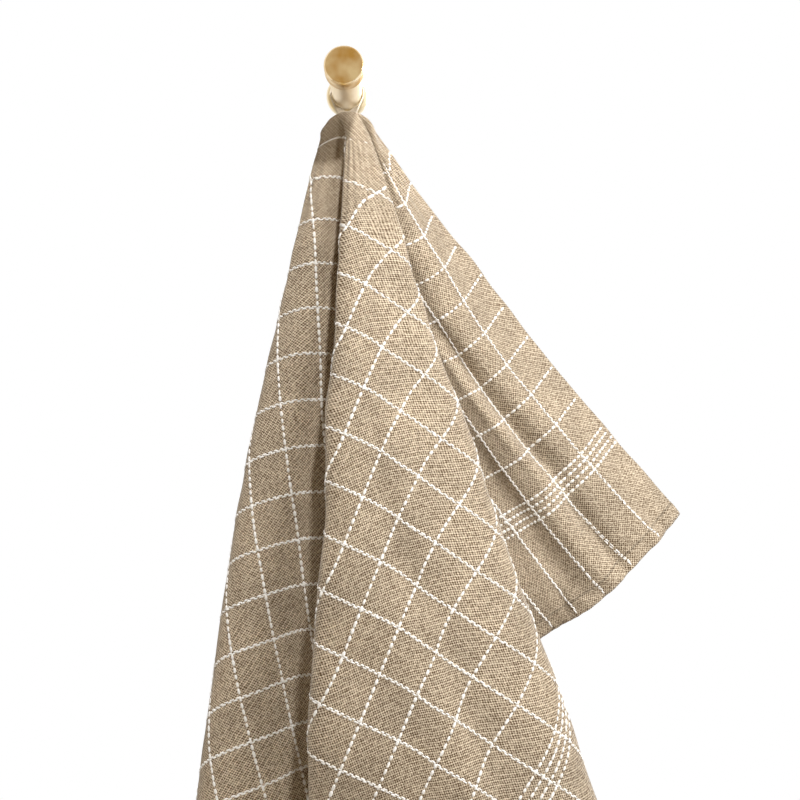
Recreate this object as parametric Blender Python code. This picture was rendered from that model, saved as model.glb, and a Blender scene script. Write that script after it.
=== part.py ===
"""A checked cotton tea towel, gathered at the middle of one long edge and hung by a tape loop from a
turned brass peg. Metres, +Z up. The wall is the plane Y = 0, and the towel hangs on its -Y side. The
origin is the middle of the rosette's back."""

import math

import bpy
import numpy as np
from mathutils import Matrix

MM = 0.001

# Cloth: the flat sheet that is cut and hemmed, then hung
CLOTH_LENGTH = 700 * MM
CLOTH_WIDTH = 500 * MM
CLOTH_THICKNESS = 1.0 * MM

# Peg and rosette, turned brass
PEG_LENGTH = 62 * MM
PEG_RISE = math.radians(5.2)
HEAD_RADIUS = 12.2 * MM
HEAD_THICKNESS = 12 * MM
HEAD_CHAMFER = 0.9 * MM
HEAD_FLARE = 0.6 * MM
STEM_RADIUS_AT_HEAD = 11 * MM
STEM_RADIUS_AT_WALL = 9.2 * MM
SEAT_DEPTH = 3 * MM
ROSETTE_RADIUS = 13.6 * MM
ROSETTE_THICKNESS = 5 * MM
ROSETTE_ROUNDING = 1.5 * MM
FIT_GAP = 0.3 * MM
TURNED_SEGMENTS = 48
SHARP_EDGE = math.radians(30)

# Hanging loop: a tape over the stem beside the rosette, with both ends sewn flat behind the rolled edge
TAPE_WIDTH = 5 * MM
TAPE_THICKNESS = 1 * MM
TAPE_OUT = 8.6 * MM
TAPE_BEND_RADIUS = 10.65 * MM
TAPE_END_X = 3.3 * MM
TAPE_END_OUT = 14.05 * MM
TAPE_END_TOP_Z = -14.5 * MM
TAPE_END_LENGTH = 4.5 * MM
TAPE_END_RINGS = 3
TAPE_STRAND_RINGS = 10
TAPE_BEND_RINGS = 8
TAPE_SPREAD_POWER = 0.8
TAPE_TWIST_SPEED = 1.5

# How the cloth hangs, in millimetres and degrees: one row for each line of the cloth that runs straight
# from the gather to the cut edge, in order around the gather. cut_u and cut_v place its upper end on
# the flat cloth, down and along from the middle of the hung edge. cut_angle is its direction there,
# from the front hem at 0 round to the back hem at 180. The x and out columns place it at the gather
# (neck), at half its length (mid) and at the cut edge (foot), sideways and out from the wall, and
# neck_z is its height at the gather. take_up is the share of its length that shows, once small puckers
# have used the rest. The two corner rows run exactly to the cloth's corners.
GATHER_DEPTH = 33 * MM
BACK_SHIFT = 52 * MM
FRONT_CORNER = math.degrees(math.atan2(CLOTH_WIDTH - GATHER_DEPTH, CLOTH_LENGTH / 2))
BACK_CORNER = math.degrees(math.atan2(CLOTH_WIDTH - GATHER_DEPTH, BACK_SHIFT - CLOTH_LENGTH / 2))
FOLD_COLUMNS = (
    "name", "cut_u", "cut_v", "cut_angle",
    "neck_x", "neck_out", "neck_z", "mid_x", "mid_out", "foot_x", "foot_out", "take_up",
)
FOLDS = (
    ("front free edge", 0, 12, 0, 18, 10, -25, 113, 8, 214, 8, 0.93),
    ("edge curl", 14, 10, 1, 18, 15, -29, 105, 18, 206, 17, 0.92),
    ("right panel", 33, 6, 3, 18.5, 18, -33, 94, 29, 192, 28, 0.91),
    ("right panel, mid", 33, 4, 12, 15, 16.5, -32, 78, 35, 158, 36, 0.925),
    ("right panel, inner", 33, 3, 22, 10, 11.5, -31, 60, 30, 124, 31, 0.90),
    ("right valley", 33, 2, 30, 4, 13, -29, 45, 33, 94, 38, 0.90),
    ("front fold", 33, 0, 43, 14.5, 21, -26, 90, 64, 174, 76, 1.0),
    ("front corner", 33, 0, FRONT_CORNER, 10.5, 25.5, -26, 59, 92, 124, 101, 1.0),
    ("front panel", 33, 0, 58, 6, 28, -26, 38, 94, 76, 94, 0.98),
    ("front panel, left", 33, 0, 67, 3, 28, -26, -2, 92, -9, 86, 0.98),
    ("deep crease", 33, -2, 72, 0.5, 24, -25, -12, 76, -19, 68, 0.98),
    ("left valley", 33, -20, 85, 1, 19, -23, 27, 26, 64, 31, 0.95),
    ("left panel, inner", 36, -40, 95, -7, 17, -25, -18, 40, -2, 30, 0.94),
    ("left panel", 39, -45, 101, -14, 15, -28, -43, 38, -42, 34, 0.95),
    ("left fold", 41, -48, 107.5, -17, 11.5, -30, -68, 31, -98, 42, 0.98),
    ("back fold", 39, -50, 115, -13, 8, -28, -58, 10, -80, 14, 1.0),
    ("back corner", 33, -52, BACK_CORNER, -8, 6.3, -22, -28, 7, -10, 10, 1.0),
    ("back panel", 30, -54, 140, -1, 5.8, -22, 35, 8, 92, 10, 1.0),
    ("back turn", 20, -57, 154, 7, 6.4, -22, 62, 14, 126, 20, 1.0),
    ("back free edge", 0, -60, 180, 3, 9, -22, 22, 21, 24, 26.5, 1.0),
)

# The grid between those rows: lines for each row, points along each line, closer near the gather, and
# how many times neighbouring points are eased together to round the folds and the gather
LINES_PER_FOLD = 4
ROWS_BELOW_GATHER = 20
ROWS_TO_SPARE = 3
ROW_CROWDING = 1.35
FOLD_ROUNDING = 2
GATHER_ROUNDING = 3
ROWS_EASED_BELOW = 5
LEAST_DROP = 0.2

# The rolled top of the gather: the strip between the gather and the hung edge stands up as an arch
# below the stem, rolls over backwards and ends behind itself. It is arched from row ROLL_FIRST to row
# ROLL_LAST of the table above, and at both ends it runs out over a few rows into a short lip.
ROLL_FIRST = 0.5
ROLL_LAST = 14
ROLL_RUN_OUT = 2
ROLL_HALF_WIDTH = 17 * MM
ROLL_MIDDLE_X = 1.5 * MM
ROLL_TOP_Z = -11.5 * MM
ROLL_SAG = 10 * MM
ROLL_OUT = 19 * MM
ROLL_RADIUS = 4 * MM
ROLL_START = math.radians(-20)
ROLL_END = math.radians(205)
LIP_SHARE = 0.2
LEAST_LIP = 0.25
SHARE_GATHERED = 0.45
ROWS_IN_ROLL = 7


def brass(name, colour, roughness):
    material = bpy.data.materials.new(name)
    material.use_nodes = True
    shader = material.node_tree.nodes["Principled BSDF"]
    shader.inputs["Base Color"].default_value = (*colour, 1)
    shader.inputs["Metallic"].default_value = 1.0
    shader.inputs["Roughness"].default_value = roughness
    return material


def cotton(name, colour):
    material = bpy.data.materials.new(name)
    material.use_nodes = True
    shader = material.node_tree.nodes["Principled BSDF"]
    shader.inputs["Base Color"].default_value = (*colour, 1)
    shader.inputs["Roughness"].default_value = 0.9
    return material


def add_object(name, vertices, faces, material):
    mesh = bpy.data.meshes.new(name)
    mesh.from_pydata(vertices, [], faces)
    mesh.materials.append(material)
    mesh.shade_smooth()
    thing = bpy.data.objects.new(name, mesh)
    bpy.context.scene.collection.objects.link(thing)
    return thing


def ease(share):
    """0 below 0, 1 above 1, and a smooth step between."""
    share = np.clip(share, 0, 1)
    return share**2 * (3 - 2 * share)


def smooth_between(rows, place):
    """Catmull-Rom curves through the rows of a table, read at fractional row numbers."""
    last = len(rows) - 1
    before = np.clip(np.floor(place).astype(int), 0, last - 1)
    part = (place - before)[:, None]
    start, end = rows[before], rows[before + 1]
    earlier = np.where((before > 0)[:, None], rows[np.maximum(before - 1, 0)], 2 * start - end)
    later = np.where((before < last - 1)[:, None], rows[np.minimum(before + 2, last)], 2 * end - start)
    return 0.5 * (
        2 * start
        + (end - earlier) * part
        + (2 * earlier - 5 * start + 4 * end - later) * part**2
        + (3 * start - earlier - 3 * end + later) * part**3
    )


def reach_to_cut_edge(cut_u, cut_v, angle):
    """Length of a line from its upper end on the flat cloth to where it meets the cut edge."""
    down, along = np.sin(angle), np.cos(angle)
    to_side = np.where(down > 1e-9, (CLOTH_WIDTH - cut_u) / np.maximum(down, 1e-9), np.inf)
    to_hem = (CLOTH_LENGTH / 2 - np.sign(along) * cut_v) / np.maximum(np.abs(along), 1e-9)
    return np.minimum(to_side, to_hem)


def fold_values(place):
    """The fold table read at fractional row numbers, as named arrays in metres and radians, with each
    line's own length as reach."""
    rows = np.array([row[1:] for row in FOLDS], float)
    values = dict(zip(FOLD_COLUMNS[1:], smooth_between(rows, place).T))
    for name in values:
        if name == "cut_angle":
            values[name] = np.radians(values[name])
        elif name != "take_up":
            values[name] = values[name] * MM
    values["reach"] = reach_to_cut_edge(values["cut_u"], values["cut_v"], values["cut_angle"])
    return values


def even_reach(place):
    """A smooth length for every line, the same as its own at the table's rows. The mid and foot columns
    are places along it, so the folds run on evenly past the cloth's corners."""
    at_rows = fold_values(np.arange(len(FOLDS), dtype=float))["reach"]
    return smooth_between(at_rows[:, None], place)[:, 0]


def parabola(neck, mid, foot, share):
    """The curve through a value at share 0, one at a half and one at 1, for each fold line."""
    return (
        neck[:, None] * (1 - share) * (1 - 2 * share)
        + mid[:, None] * 4 * share * (1 - share)
        + foot[:, None] * share * (2 * share - 1)
    )


def hanging_rows(fold, length, share):
    """Points along each fold line: a parabola through its neck, middle and foot, with its drop worked
    out so that the line keeps its cut length."""
    x = parabola(fold["neck_x"], fold["mid_x"], fold["foot_x"], share)
    out = parabola(fold["neck_out"], fold["mid_out"], fold["foot_out"], share)
    step = (length * fold["take_up"])[:, None] * np.diff(share)
    sideways = np.hypot(np.diff(x), np.diff(out))
    drop = np.sqrt(np.maximum(step**2 - sideways**2, (LEAST_DROP * step) ** 2))
    z = fold["neck_z"][:, None] - np.pad(np.cumsum(drop, axis=1), ((0, 0), (1, 0)))
    return np.stack([x, -out, z], axis=-1)


def rolled_rows(fold, place, share):
    """Points from the gather (share 0) up the strip above it to the hung edge (share 1). In the middle
    the strip stands up as an arch and rolls over backwards. Towards its ends it is a short lip."""
    arched = ease((place - ROLL_FIRST) / ROLL_RUN_OUT) * ease((ROLL_LAST - place) / ROLL_RUN_OUT)
    side = 1 - 2 * np.clip((place - ROLL_FIRST) / (ROLL_LAST - ROLL_FIRST), 0, 1)
    radius = ROLL_RADIUS * np.clip(fold["cut_u"] / GATHER_DEPTH, LEAST_LIP, 1)
    lip_out = fold["neck_out"] - radius * math.cos(ROLL_START)
    lip_z = fold["neck_z"] + radius * (1 - math.sin(ROLL_START))
    middle_x = arched * (ROLL_MIDDLE_X + side * ROLL_HALF_WIDTH) + (1 - arched) * fold["neck_x"]
    middle_out = arched * ROLL_OUT + (1 - arched) * lip_out
    top_z = arched * (ROLL_TOP_Z - ROLL_SAG * side**2) + (1 - arched) * lip_z
    sweep = (ROLL_END - ROLL_START) * (LIP_SHARE + (1 - LIP_SHARE) * arched)
    turn = ROLL_START + sweep[:, None] * share
    out = middle_out[:, None] + radius[:, None] * np.cos(turn)
    z = top_z[:, None] + radius[:, None] * (np.sin(turn) - 1)
    rolled = np.stack([np.broadcast_to(middle_x[:, None], z.shape), -out, z], axis=-1)
    neck = np.stack([fold["neck_x"], -fold["neck_out"], fold["neck_z"]], axis=-1)[:, None]
    gathered = 1 - ease(share / SHARE_GATHERED)[:, None]
    return neck * gathered + rolled * (1 - gathered)


def eased(points, passes):
    """Rounds a stack of lines: each line but the first and last moves to the mean of itself and its two
    neighbours."""
    for _ in range(passes):
        points[1:-1] = (points[:-2] + 2 * points[1:-1] + points[2:]) / 4


def cut_to_length(points, ratio):
    """The rows of an even sheet read again so that each line ends at the cloth's own cut edge, at ratio
    times the even length."""
    share = np.linspace(0, 1, ROWS_BELOW_GATHER + 1) ** ROW_CROWDING
    place = ROWS_IN_ROLL + ROWS_BELOW_GATHER * (ratio[:, None] * share) ** (1 / ROW_CROWDING)
    before = np.minimum(np.floor(place).astype(int), points.shape[1] - 2)
    part = (place - before)[..., None]
    line = np.arange(len(points))[:, None]
    below = (1 - part) * points[line, before] + part * points[line, before + 1]
    return np.concatenate([points[:, :ROWS_IN_ROLL], below], axis=1)


def make_towel():
    """One sheet of cloth: a grid whose lines follow the folds, given its thickness. It is hung and
    rounded as an even sheet, a little too long, and then cut to the cloth's own outline."""
    count = (len(FOLDS) - 1) * LINES_PER_FOLD + 1
    place = np.linspace(0, len(FOLDS) - 1, count)
    fold = fold_values(place)
    length = even_reach(place)
    row = np.arange(ROWS_BELOW_GATHER + ROWS_TO_SPARE + 1)
    below = hanging_rows(fold, length, (row / ROWS_BELOW_GATHER) ** ROW_CROWDING)
    above = rolled_rows(fold, place, np.linspace(1, 0, ROWS_IN_ROLL + 1)[:-1])
    points = np.concatenate([above, below], axis=1)
    eased(points, FOLD_ROUNDING)
    eased(points[:, : ROWS_IN_ROLL + ROWS_EASED_BELOW].transpose(1, 0, 2), GATHER_ROUNDING)
    points = cut_to_length(points, fold["reach"] / length)
    rows = points.shape[1]
    corner = (np.arange(count - 1)[:, None] * rows + np.arange(rows - 1)).ravel()
    faces = np.stack([corner, corner + 1, corner + rows + 1, corner + rows], axis=-1)
    towel = add_object("towel", points.reshape(-1, 3).tolist(), faces.tolist(),
                       cotton("checked_cotton", (0.44, 0.33, 0.22)))
    wall = towel.modifiers.new("cloth thickness", "SOLIDIFY")
    wall.thickness = CLOTH_THICKNESS
    wall.offset = 0
    wall.thickness_clamp = 0.9
    wall.use_thickness_angle_clamp = True
    return towel


def turned(name, profile, material):
    """A closed turned body from (distance along the axis, radius) pairs. The axis leaves the wall
    along -Y."""
    vertices = []
    for along, radius in profile:
        for k in range(TURNED_SEGMENTS):
            angle = 2 * math.pi * k / TURNED_SEGMENTS
            vertices.append((radius * math.cos(angle), -along, radius * math.sin(angle)))
    faces = [tuple(reversed(range(TURNED_SEGMENTS)))]
    for start in range(0, len(vertices) - TURNED_SEGMENTS, TURNED_SEGMENTS):
        for k in range(TURNED_SEGMENTS):
            after = (k + 1) % TURNED_SEGMENTS
            end = start + TURNED_SEGMENTS
            faces.append((start + k, start + after, end + after, end + k))
    faces.append(tuple(range(len(vertices) - TURNED_SEGMENTS, len(vertices))))
    body = add_object(name, vertices, faces, material)
    body.data.set_sharp_from_angle(angle=SHARP_EDGE)
    return body


def tape_path():
    """Half the tape's middle line, as x, out and z, and how far it has twisted from flat against the
    cloth to flat on the stem: up from its sewn end, along the strand and over to the top of the bend."""
    middle_z = (TAPE_OUT - ROSETTE_THICKNESS) * math.tan(PEG_RISE)
    below = np.linspace(-TAPE_END_LENGTH, 0, TAPE_END_RINGS + 1)[:-1]
    sewn = np.stack([np.full_like(below, TAPE_END_X), np.full_like(below, TAPE_END_OUT),
                     TAPE_END_TOP_Z + below], axis=-1)
    rise = np.linspace(0, 1, TAPE_STRAND_RINGS + 1)[:-1]
    spread = ease(rise**TAPE_SPREAD_POWER)
    strand = np.stack([TAPE_END_X + (TAPE_BEND_RADIUS - TAPE_END_X) * spread,
                       TAPE_END_OUT + (TAPE_OUT - TAPE_END_OUT) * ease(rise),
                       TAPE_END_TOP_Z + (middle_z - TAPE_END_TOP_Z) * rise], axis=-1)
    around = np.linspace(0, math.pi / 2, TAPE_BEND_RINGS)
    bend = np.stack([TAPE_BEND_RADIUS * np.cos(around), np.full_like(around, TAPE_OUT),
                     middle_z + TAPE_BEND_RADIUS * np.sin(around)], axis=-1)
    twist = np.concatenate([np.zeros(TAPE_END_RINGS), ease(TAPE_TWIST_SPEED * rise),
                            np.ones(TAPE_BEND_RINGS)])
    return np.concatenate([sewn, strand, bend]), twist * math.pi / 2


def make_loop():
    """A ribbon along the tape's path, up one side of the stem and down the other."""
    half, half_twist = tape_path()
    path = np.concatenate([half, half[-2::-1] * (-1, 1, 1)]) * (1, -1, 1)
    twist = np.concatenate([half_twist, math.pi - half_twist[-2::-1]])
    along = np.gradient(path, axis=0)
    along /= np.linalg.norm(along, axis=1, keepdims=True)
    wide = np.stack([np.cos(twist), -np.sin(twist), np.zeros(len(path))], axis=-1)
    wide -= along * (wide * along).sum(axis=1, keepdims=True)
    wide /= np.linalg.norm(wide, axis=1, keepdims=True)
    thick = np.cross(along, wide)
    corners = ((-1, -1), (1, -1), (1, 1), (-1, 1))
    rings = np.stack([path + wide * a * TAPE_WIDTH / 2 + thick * b * TAPE_THICKNESS / 2
                      for a, b in corners], axis=1)
    faces = [(0, 3, 2, 1)]
    end = 4 * (len(path) - 1)
    for start in range(0, end, 4):
        for k in range(4):
            after = (k + 1) % 4
            faces.append((start + k, start + after, start + 4 + after, start + 4 + k))
    faces.append((end, end + 1, end + 2, end + 3))
    tape = cotton("cotton_tape", (0.84, 0.77, 0.66))
    return add_object("hanging_loop", rings.reshape(-1, 3).tolist(), faces, tape)


def make_rosette():
    """A round plate with its front edge rounded over."""
    profile = [(0, ROSETTE_RADIUS)]
    for turn in np.linspace(0, math.pi / 2, 5):
        profile.append((ROSETTE_THICKNESS - ROSETTE_ROUNDING * (1 - math.sin(turn)),
                        ROSETTE_RADIUS - ROSETTE_ROUNDING * (1 - math.cos(turn))))
    return turned("rosette", profile, brass("pale_brass", (0.86, 0.77, 0.58), 0.3))


def make_peg():
    """A tapering stem that rises from the rosette to a flat head. Its lower end is cut to the plane of
    the rosette's face, a small gap in front of it."""
    stem_end = PEG_LENGTH - HEAD_THICKNESS
    profile = [
        (-SEAT_DEPTH, STEM_RADIUS_AT_WALL),
        (stem_end, STEM_RADIUS_AT_HEAD),
        (stem_end + HEAD_FLARE, HEAD_RADIUS),
        (PEG_LENGTH - HEAD_CHAMFER, HEAD_RADIUS),
        (PEG_LENGTH, HEAD_RADIUS - HEAD_CHAMFER),
    ]
    peg = turned("peg", profile, brass("brass", (0.70, 0.52, 0.27), 0.25))
    seat = -ROSETTE_THICKNESS - FIT_GAP
    place = Matrix.Translation((0, seat, 0)) @ Matrix.Rotation(-PEG_RISE, 4, "X")
    for vertex in peg.data.vertices:
        vertex.co = place @ vertex.co
        vertex.co.y = min(vertex.co.y, seat)
    return peg


def main():
    for thing in list(bpy.data.objects):
        bpy.data.objects.remove(thing, do_unlink=True)
    make_rosette()
    make_peg()
    make_towel()
    make_loop()


main()
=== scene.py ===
"""A checked cotton tea towel hanging from a brass wall peg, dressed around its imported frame."""

import math

import bpy
import numpy as np
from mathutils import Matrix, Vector


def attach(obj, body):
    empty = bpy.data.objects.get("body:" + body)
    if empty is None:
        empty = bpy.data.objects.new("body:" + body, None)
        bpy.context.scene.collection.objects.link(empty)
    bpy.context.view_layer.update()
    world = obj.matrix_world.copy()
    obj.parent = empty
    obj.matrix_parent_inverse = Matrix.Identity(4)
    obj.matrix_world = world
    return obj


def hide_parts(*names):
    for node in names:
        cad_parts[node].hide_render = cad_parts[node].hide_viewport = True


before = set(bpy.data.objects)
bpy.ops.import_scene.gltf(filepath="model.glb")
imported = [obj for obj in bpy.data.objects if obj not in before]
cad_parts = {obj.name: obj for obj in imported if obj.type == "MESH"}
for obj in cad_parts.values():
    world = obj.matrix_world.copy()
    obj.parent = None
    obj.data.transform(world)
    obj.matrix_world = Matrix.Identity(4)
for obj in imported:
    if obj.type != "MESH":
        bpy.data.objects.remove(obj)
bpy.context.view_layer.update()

# ---------------------------------------------------------------------------------------------------
# The rosette: the round plate that is fixed flat to the wall and carries the peg. It is turned brass
# with a soft polish, much paler than the head of the peg.
# ---------------------------------------------------------------------------------------------------
MM = 0.001


def from_hex(code):
    """An sRGB hex colour as the linear red, green, blue and alpha that the shaders take."""
    parts = [int(code[place : place + 2], 16) / 255 for place in (1, 3, 5)]
    linear = [part / 12.92 if part <= 0.04045 else ((part + 0.055) / 1.055) ** 2.4 for part in parts]
    return (*linear, 1.0)


def feed(owner, node, inputs):
    """Gives inputs of a node in a material or the world a value each, or a link from another node."""
    for socket, value in inputs.items():
        if isinstance(value, bpy.types.NodeSocket):
            owner.node_tree.links.new(value, node.inputs[socket])
        else:
            node.inputs[socket].default_value = value


def add(owner, kind, inputs=(), **settings):
    """Adds a node to a material or the world, with its settings and what feeds its inputs."""
    made = owner.node_tree.nodes.new(kind)
    for name, value in settings.items():
        setattr(made, name, value)
    feed(owner, made, dict(inputs))
    return made


def new_material(name):
    """A material and its shader node, whose inputs are still to be fed."""
    material = bpy.data.materials.new(name)
    material.use_nodes = True
    return material, material.node_tree.nodes["Principled BSDF"]


HEAD_FACE_OUT = 67 * MM
HEAD_BACK_OUT = 54.5 * MM
HEAD_BACK_EDGE = 0.4 * MM
HEAD_FACE_EDGE = 0.6 * MM
PEG_RISE = math.radians(5.2)
CLOUD_SIZE = 14 * MM


def turned_brass(name, head_reflection_colours, colours, roughness, groove, groove_height):
    """Brass turned on a lathe about the peg's axis. Fine rings, groove metres wide, follow the tool: a
    noise along the distance from the axis plus the distance out from the wall. Soft clouds vary the
    colour between the two of a pair, and the gloss a little. What is in front of the head's back has a
    pair of its own, and its clouds there are painted reflection: patches of deeper gold put in the colour.
    roughness is for the polished face of the head and for the rest."""
    material, shader = new_material(name)
    place = add(material, "ShaderNodeTexCoord")
    straight = add(material, "ShaderNodeMapping",
                   {"Vector": place.outputs["Object"], "Rotation": (PEG_RISE, 0, 0)})
    flat = add(material, "ShaderNodeVectorMath",
               {0: straight.outputs[0], 1: (1, 0, 1)}, operation="MULTIPLY")
    radius = add(material, "ShaderNodeVectorMath", {0: flat.outputs[0]}, operation="LENGTH")
    along = add(material, "ShaderNodeSeparateXYZ", {0: straight.outputs[0]})
    depth = add(material, "ShaderNodeMath",
                {0: radius.outputs["Value"], 1: along.outputs["Y"]}, operation="ADD")
    ring = add(material, "ShaderNodeMath", {0: depth.outputs[0], 1: 1 / groove}, operation="MULTIPLY")
    rings = add(material, "ShaderNodeTexNoise", {"W": ring.outputs[0], "Scale": 1.0, "Detail": 2.0},
                noise_dimensions="1D")
    cloud = add(material, "ShaderNodeTexNoise",
                {"Vector": place.outputs["Object"], "Scale": 1 / CLOUD_SIZE, "Detail": 2.0})
    reflection_patch = add(material, "ShaderNodeMapRange",
                {"Value": cloud.outputs[0], "From Min": 0.35, "From Max": 0.65})
    # Painted reflection: on the head, clouds mix pale brass with deeper gold as if the room were mirrored
    # in it.
    head = add(material, "ShaderNodeMix",
               {0: reflection_patch.outputs[0], 6: from_hex(head_reflection_colours[0]), 7: from_hex(head_reflection_colours[1])},
               data_type="RGBA")
    body = add(material, "ShaderNodeMix",
               {0: cloud.outputs[0], 6: from_hex(colours[0]), 7: from_hex(colours[1])}, data_type="RGBA")
    behind_head = add(material, "ShaderNodeMapRange",
                      {"Value": along.outputs["Y"], "From Min": -HEAD_BACK_OUT - HEAD_BACK_EDGE,
                       "From Max": -HEAD_BACK_OUT + HEAD_BACK_EDGE})
    tint = add(material, "ShaderNodeMix",
               {0: behind_head.outputs[0], 6: head.outputs[2], 7: body.outputs[2]}, data_type="RGBA")
    gloss = add(material, "ShaderNodeMapRange",
                {"Value": cloud.outputs[0], "From Min": 0.3, "From Max": 0.7,
                 "To Min": -0.02, "To Max": 0.03})
    satin = add(material, "ShaderNodeMapRange",
                {"Value": along.outputs["Y"], "From Min": -HEAD_FACE_OUT,
                 "From Max": -HEAD_FACE_OUT + HEAD_FACE_EDGE,
                 "To Min": roughness[0], "To Max": roughness[1]})
    finish = add(material, "ShaderNodeMath", {0: gloss.outputs[0], 1: satin.outputs[0]}, operation="ADD")
    relief = add(material, "ShaderNodeBump",
                 {"Height": rings.outputs[0], "Strength": 0.35, "Distance": groove_height})
    feed(material, shader, {"Base Color": tint.outputs[2], "Metallic": 1.0,
                            "Roughness": finish.outputs[0], "Normal": relief.outputs[0]})
    return material


def dress(node, material):
    """Gives a node of the frame its material in every slot."""
    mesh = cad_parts[node].data
    mesh.materials.clear()
    mesh.materials.append(material)


ROSETTE_COLOURS = ("#faf2de", "#f3e8cc")
dress("rosette", turned_brass("polished_pale_brass", ROSETTE_COLOURS, ROSETTE_COLOURS,
                              roughness=(0.3, 0.3), groove=0.35 * MM, groove_height=0.02 * MM))

# ---------------------------------------------------------------------------------------------------
# The peg: a tapering stem with a flat round head, turned from one brass bar. The stem is left satin
# and pale. The head is polished, and cloudy patches of deeper gold in its colour are a painted
# reflection of the room in front.
# ---------------------------------------------------------------------------------------------------
# The head's pair: pale brass and the deeper gold of its painted reflection.
HEAD_REFLECTION_COLOURS = ("#fff4dc", "#caa460")
STEM_COLOURS = ("#fdf5e4", "#f9ebd0")
dress("peg", turned_brass("satin_turned_brass", HEAD_REFLECTION_COLOURS, STEM_COLOURS,
                          roughness=(0.13, 0.5), groove=0.3 * MM, groove_height=0.03 * MM))

# ---------------------------------------------------------------------------------------------------
# The cloth: one length of tan cotton twill, 500 by 700 mm, with turned short hems. It is gathered at
# the middle of one long edge, and every line from the gather to the cut edge hangs as one row of the
# table says. u runs down from the hung edge and v along it, both in the flat cloth.
# ---------------------------------------------------------------------------------------------------
CLOTH_LENGTH = 700 * MM
CLOTH_WIDTH = 500 * MM
CLOTH_THICKNESS = 0.9 * MM
GATHER_DEPTH = 33 * MM
BACK_SHIFT = 52 * MM

# The angles of the fold lines that end in the cloth's two free corners. Both lines start as deep as the
# gather, and the back one starts BACK_SHIFT along the cloth towards the back hem.
FRONT_CORNER_ANGLE = math.degrees(math.atan2(CLOTH_WIDTH - GATHER_DEPTH, CLOTH_LENGTH / 2))
BACK_CORNER_ANGLE = math.degrees(math.atan2(CLOTH_WIDTH - GATHER_DEPTH, BACK_SHIFT - CLOTH_LENGTH / 2))

# The fold lines, in millimetres and degrees. In the flat cloth a line starts at the cut place and runs
# at the cut angle, which is 0 towards the hem in front and 90 straight down. As it hangs, its top, its
# middle and its foot are at the neck, mid and foot places, and take_up is the part of its length that
# the fine wrinkles leave.
FOLD_COLUMNS = (
    "name", "cut_u", "cut_v", "cut_angle",
    "neck_x", "neck_out", "neck_z", "mid_x", "mid_out", "foot_x", "foot_out", "take_up",
)
FOLDS = (
    ("front free edge", 0, 12, 0, 18, 10, -25, 113, 8, 214, 8, 0.93),
    ("edge curl", 14, 10, 1, 18, 15, -29, 105, 18, 206, 17, 0.92),
    ("right panel", 33, 6, 3, 18.5, 18, -33, 94, 29, 192, 28, 0.91),
    ("right panel, mid", 33, 4, 12, 15, 16.5, -32, 78, 35, 158, 36, 0.925),
    ("right panel, inner", 33, 3, 22, 10, 11.5, -31, 60, 30, 124, 31, 0.90),
    ("right valley", 33, 2, 30, 4, 13, -29, 45, 33, 94, 38, 0.90),
    ("front fold", 33, 0, 43, 14.5, 21, -26, 90, 64, 174, 76, 1.0),
    ("front corner", 33, 0, FRONT_CORNER_ANGLE, 10.5, 25.5, -26, 59, 92, 124, 101, 1.0),
    ("front panel", 33, 0, 58, 6, 28, -26, 38, 94, 76, 94, 0.98),
    ("front panel, left", 33, 0, 67, 3, 28, -26, -2, 92, -9, 86, 0.98),
    ("deep crease", 33, -2, 72, 0.5, 24, -25, -12, 76, -19, 68, 0.98),
    ("left valley", 33, -20, 85, 1, 19, -23, 27, 26, 64, 31, 0.95),
    ("left panel, inner", 36, -40, 95, -7, 17, -25, -18, 40, -2, 30, 0.94),
    ("left panel", 39, -45, 101, -14, 15, -28, -43, 38, -42, 34, 0.95),
    ("left fold", 41, -48, 107.5, -17, 11.5, -30, -68, 31, -98, 42, 0.98),
    ("back fold", 39, -50, 115, -13, 8, -28, -58, 10, -80, 14, 1.0),
    ("back corner", 33, -52, BACK_CORNER_ANGLE, -8, 6.3, -22, -28, 7, -10, 10, 1.0),
    ("back panel", 30, -54, 140, -1, 5.8, -22, 35, 8, 92, 10, 1.0),
    ("back turn", 20, -57, 154, 7, 6.4, -22, 62, 14, 126, 20, 1.0),
    ("back free edge", 0, -60, 180, 3, 9, -22, 22, 21, 24, 26.5, 1.0),
)
LEAST_DROP = 0.2
TINY = 1e-12


def ease(share):
    """0 below 0, 1 above 1, and a smooth step between."""
    share = np.clip(share, 0, 1)
    return share**2 * (3 - 2 * share)


def smooth_between(rows, place):
    """Catmull-Rom curves through the rows of a table, read at fractional row numbers."""
    last = len(rows) - 1
    before = np.clip(np.floor(place).astype(int), 0, last - 1)
    part = (place - before)[:, None]
    start, end = rows[before], rows[before + 1]
    earlier = np.where((before > 0)[:, None], rows[np.maximum(before - 1, 0)], 2 * start - end)
    later = np.where((before < last - 1)[:, None], rows[np.minimum(before + 2, last)], 2 * end - start)
    return 0.5 * (
        2 * start
        + (end - earlier) * part
        + (2 * earlier - 5 * start + 4 * end - later) * part**2
        + (3 * start - earlier - 3 * end + later) * part**3
    )


def fold_values(place):
    """The table read at fractional row numbers, in metres, with each line's direction in the flat cloth,
    which is the sine and cosine of its angle, and its reach: how far it runs there until it first meets
    a short hem or the far long edge."""
    rows = np.array([row[1:] for row in FOLDS], float)
    values = dict(zip(FOLD_COLUMNS[1:], smooth_between(rows, place).T))
    for name in values:
        if name not in ("cut_angle", "take_up"):
            values[name] = values[name] * MM
    angle = np.radians(values["cut_angle"])
    values["down"], values["along"] = np.sin(angle), np.cos(angle)
    to_far_edge = (CLOTH_WIDTH - values["cut_u"]) / np.maximum(values["down"], TINY)
    along_left = CLOTH_LENGTH / 2 - np.sign(values["along"]) * values["cut_v"]
    to_short_hem = along_left / np.maximum(np.abs(values["along"]), TINY)
    values["reach"] = np.minimum(to_far_edge, to_short_hem)
    return values


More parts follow.
